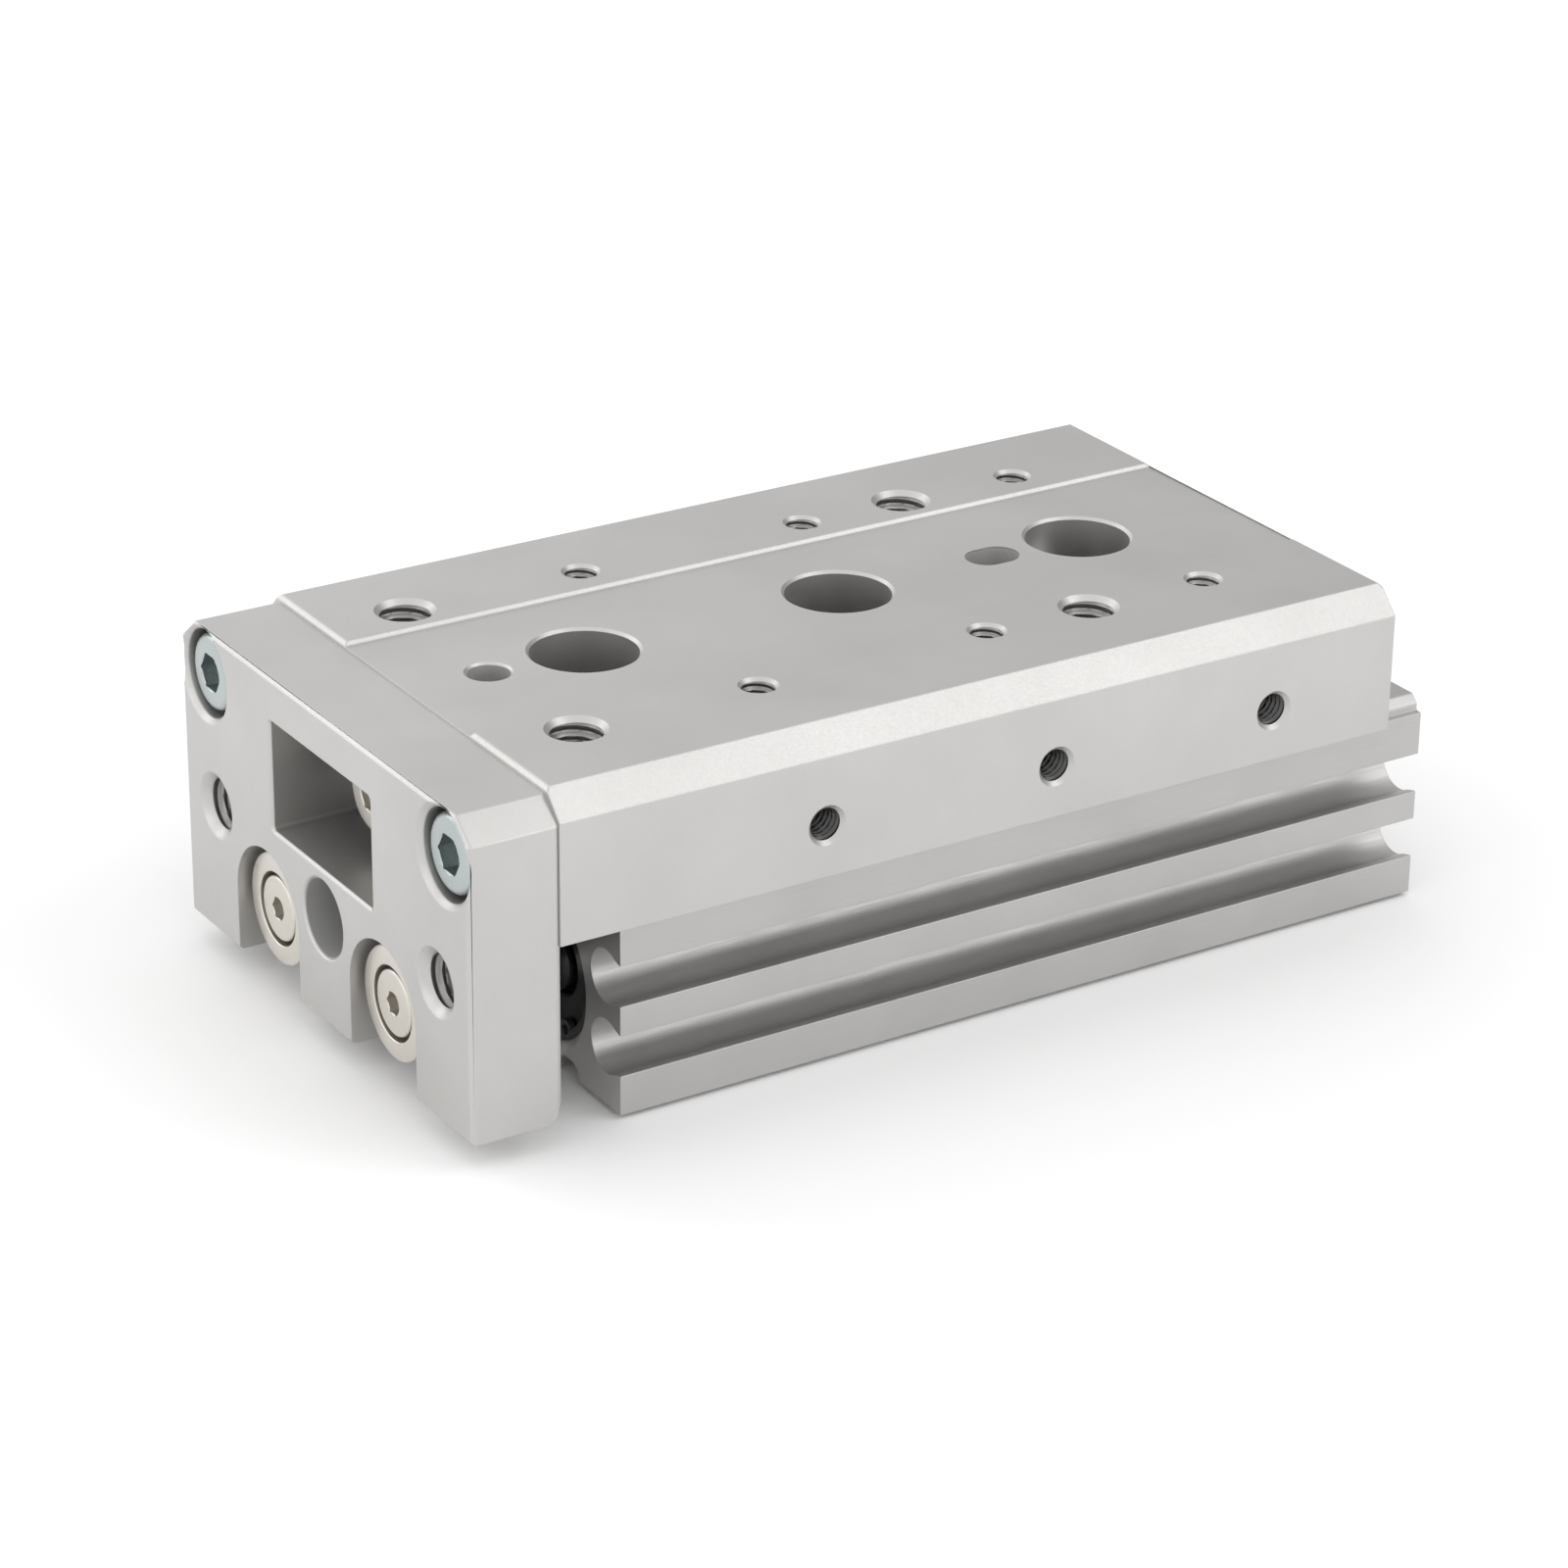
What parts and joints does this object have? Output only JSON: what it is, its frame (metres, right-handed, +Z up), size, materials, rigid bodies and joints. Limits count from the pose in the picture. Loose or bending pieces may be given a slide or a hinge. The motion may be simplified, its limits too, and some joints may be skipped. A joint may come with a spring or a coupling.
{
  "type": "pneumatic slide table",
  "caption": "Twin-rod pneumatic slide table with a ball-guided flat table, a bolted end plate with floating rod joints and a grooved body.",
  "frame": {"origin": "centre of the retracted unit's length and width, on the mounting face under the body", "axes": "+X the way the table extends, +Y the side with the sensor grooves, +Z up out of the table's top"},
  "size_m": [0.0768, 0.04, 0.0245],
  "materials": {
    "body_aluminium": "clear anodised, satin, extruded",
    "table_aluminium": "clear anodised, satin, milled",
    "plate_aluminium": "clear anodised, satin, milled",
    "piston_aluminium": "turned",
    "hardened_steel": "hardened and ground",
    "ball_steel": "polished bearing balls",
    "retainer_steel": "stainless strip",
    "guide_plastic": "moulded",
    "seal_rubber": "nitrile",
    "bumper_rubber": "polyurethane",
    "black_bush": "hard anodised, black",
    "spring_steel": "phosphated",
    "magnet": "bonded magnet",
    "rod_chrome": "hard chromed and ground",
    "nickel_steel": "nickel plated",
    "zinc_steel": "zinc plated"
  },
  "bodies": {
    "base": {"cylinder_body": "body_aluminium", "guide_block": "hardened_steel", "guide_block_screws": "zinc_steel", "guide_cover_front": "guide_plastic", "guide_cover_rear": "guide_plastic", "guide_cover_screw": "nickel_steel", "guide_rear_screws": "zinc_steel", "scraper_front": "seal_rubber", "scraper_rear": "seal_rubber", "balls_near": "ball_steel", "ball_retainer_near": "retainer_steel", "rod_cover_near": "black_bush", "rod_cover_seal_near": "seal_rubber", "rod_seal_near": "seal_rubber", "rod_cover_ring_near": "spring_steel", "head_cap_near": "plate_aluminium", "head_cap_seal_near": "seal_rubber", "head_cap_ring_near": "spring_steel", "head_bumper_near": "bumper_rubber", "balls_far": "ball_steel", "ball_retainer_far": "retainer_steel", "rod_cover_far": "black_bush", "rod_cover_seal_far": "seal_rubber", "rod_seal_far": "seal_rubber", "rod_cover_ring_far": "spring_steel", "head_cap_far": "plate_aluminium", "head_cap_seal_far": "seal_rubber", "head_cap_ring_far": "spring_steel", "head_bumper_far": "bumper_rubber"},
    "slide": {"table": "table_aluminium", "end_plate": "plate_aluminium", "end_plate_screws": "zinc_steel", "raceway_rail_near": "hardened_steel", "piston_rod_near": "rod_chrome", "piston_near": "piston_aluminium", "piston_seal_near": "seal_rubber", "piston_magnet_near": "magnet", "rod_bumper_near": "bumper_rubber", "floating_bush_near": "nickel_steel", "float_washer_near": "nickel_steel", "rod_end_screw_near": "nickel_steel", "raceway_rail_far": "hardened_steel", "piston_rod_far": "rod_chrome", "piston_far": "piston_aluminium", "piston_seal_far": "seal_rubber", "piston_magnet_far": "magnet", "rod_bumper_far": "bumper_rubber", "floating_bush_far": "nickel_steel", "float_washer_far": "nickel_steel", "rod_end_screw_far": "nickel_steel"}
  },
  "joints": [
    {"name": "table_slide", "type": "slide", "parent": "base", "child": "slide", "axis": [1, 0, 0], "range_m": [0, 0.03]}
  ]
}
